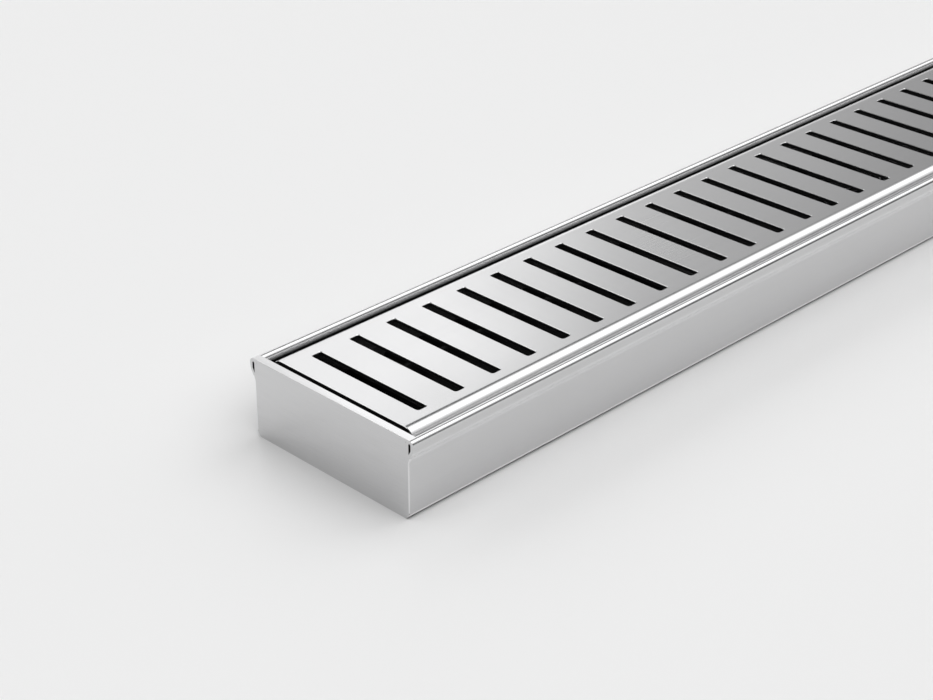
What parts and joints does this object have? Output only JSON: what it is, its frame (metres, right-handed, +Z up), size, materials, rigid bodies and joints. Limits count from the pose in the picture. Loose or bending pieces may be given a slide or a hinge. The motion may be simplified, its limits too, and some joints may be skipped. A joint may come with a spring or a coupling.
{
  "type": "linear drain",
  "caption": "Straight shower channel of folded stainless sheet with hemmed rims, flush end plates, a slotted lift-out grate and an outlet in the middle of its base.",
  "frame": {"origin": "middle of the base's underside, on the surface that the drain stands on", "axes": "+X along the drain's length, +Y across it, +Z up out of the grate"},
  "size_m": [0.8, 0.1, 0.0376],
  "materials": {
    "channel_steel": "fine brushed along the length, dull dark inside below the grate",
    "plate_steel": "fine ground face",
    "grate_steel": "fine brushed along the length",
    "bridge_steel": "dull dark, as all that lies below the grate",
    "outlet_steel": "turned and pressed, satin",
    "clip_rubber": "matt"
  },
  "bodies": {
    "root": {"channel_body": "channel_steel", "end_plate_left": "plate_steel", "end_plate_right": "plate_steel", "slotted_grate": "grate_steel", "support_bridge_1": "bridge_steel", "support_bridge_2": "bridge_steel", "support_bridge_3": "bridge_steel", "support_bridge_4": "bridge_steel", "grate_clip_1": "clip_rubber", "grate_clip_2": "clip_rubber", "grate_clip_3": "clip_rubber", "grate_clip_4": "clip_rubber", "grate_clip_5": "clip_rubber", "grate_clip_6": "clip_rubber", "grate_clip_7": "clip_rubber", "grate_clip_8": "clip_rubber", "outlet_ring": "outlet_steel", "outlet_strainer": "outlet_steel", "strainer_knob": "outlet_steel"}
  },
  "joints": []
}
